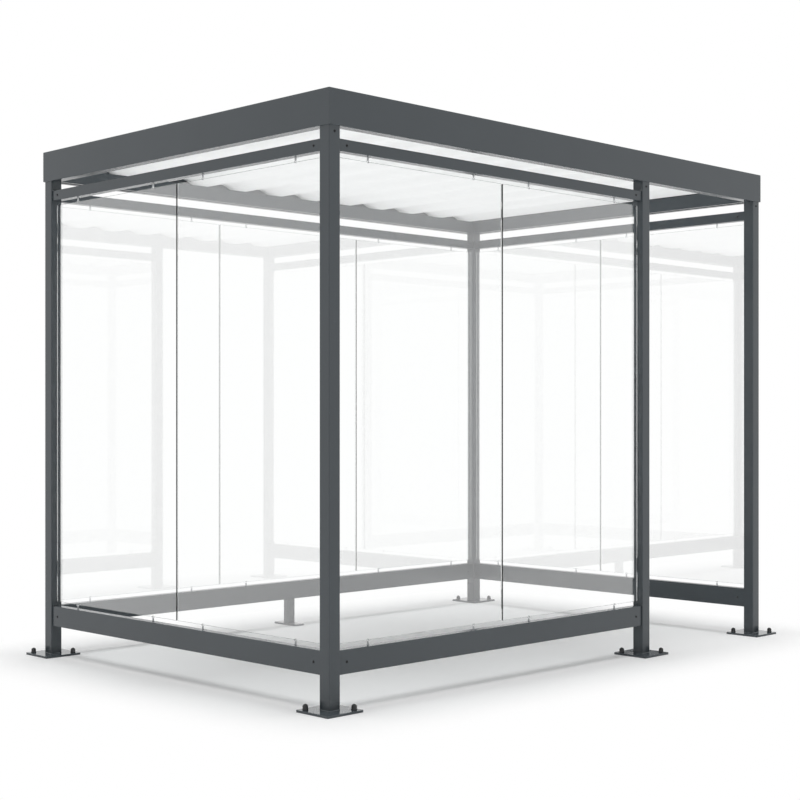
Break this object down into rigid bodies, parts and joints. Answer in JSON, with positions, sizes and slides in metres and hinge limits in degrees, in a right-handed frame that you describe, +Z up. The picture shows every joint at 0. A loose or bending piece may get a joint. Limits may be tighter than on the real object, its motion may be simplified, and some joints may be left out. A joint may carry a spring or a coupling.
{
  "type": "bus shelter",
  "caption": "Open-fronted waiting shelter: square posts on base plates, glass walls held in clips between rails, and a flat corrugated translucent roof behind a folded fascia.",
  "frame": {"origin": "on the ground, under the middle of the shelter", "axes": "+Z up, +X along the long side towards the entrance end, -Y out of the side with the entrance"},
  "size_m": [3.318, 2.274, 2.528],
  "materials": {
    "frame_paint": "anthracite powder coat, fine satin",
    "fascia_paint": "anthracite powder coat, fine satin",
    "plate_paint": "anthracite powder coat, smooth",
    "clear_glass": "clear toughened glass with polished edges",
    "clip_metal": "satin",
    "opal_sheet": "translucent white corrugated plastic sheet"
  },
  "bodies": {
    "root": {"post_rear_left": "frame_paint", "post_front_left": "frame_paint", "post_entrance": "frame_paint", "post_front_right": "frame_paint", "post_rear_right": "frame_paint", "leg_rear_middle": "frame_paint", "base_plate_rear_left": "plate_paint", "base_plate_front_left": "plate_paint", "base_plate_entrance": "plate_paint", "base_plate_front_right": "plate_paint", "base_plate_rear_right": "plate_paint", "base_plate_rear_middle": "plate_paint", "lower_rail_front": "frame_paint", "upper_rail_front": "frame_paint", "lower_rail_right": "frame_paint", "upper_rail_right": "frame_paint", "lower_rail_rear": "frame_paint", "upper_rail_rear": "frame_paint", "lower_rail_left": "frame_paint", "upper_rail_left": "frame_paint", "glass_front_left": "clear_glass", "glass_front_right": "clear_glass", "glass_right_front": "clear_glass", "glass_right_rear": "clear_glass", "glass_rear_right": "clear_glass", "glass_rear_middle": "clear_glass", "glass_rear_left": "clear_glass", "glass_left_rear": "clear_glass", "glass_left_front": "clear_glass", "glass_clips_front": "clip_metal", "glass_clips_right": "clip_metal", "glass_clips_rear": "clip_metal", "glass_clips_left": "clip_metal", "ring_beam_front": "frame_paint", "fascia_front": "fascia_paint", "ring_beam_right": "frame_paint", "fascia_right": "fascia_paint", "ring_beam_rear": "frame_paint", "fascia_rear": "fascia_paint", "ring_beam_left": "frame_paint", "fascia_left": "fascia_paint", "roof_sheet": "opal_sheet"}
  },
  "joints": []
}
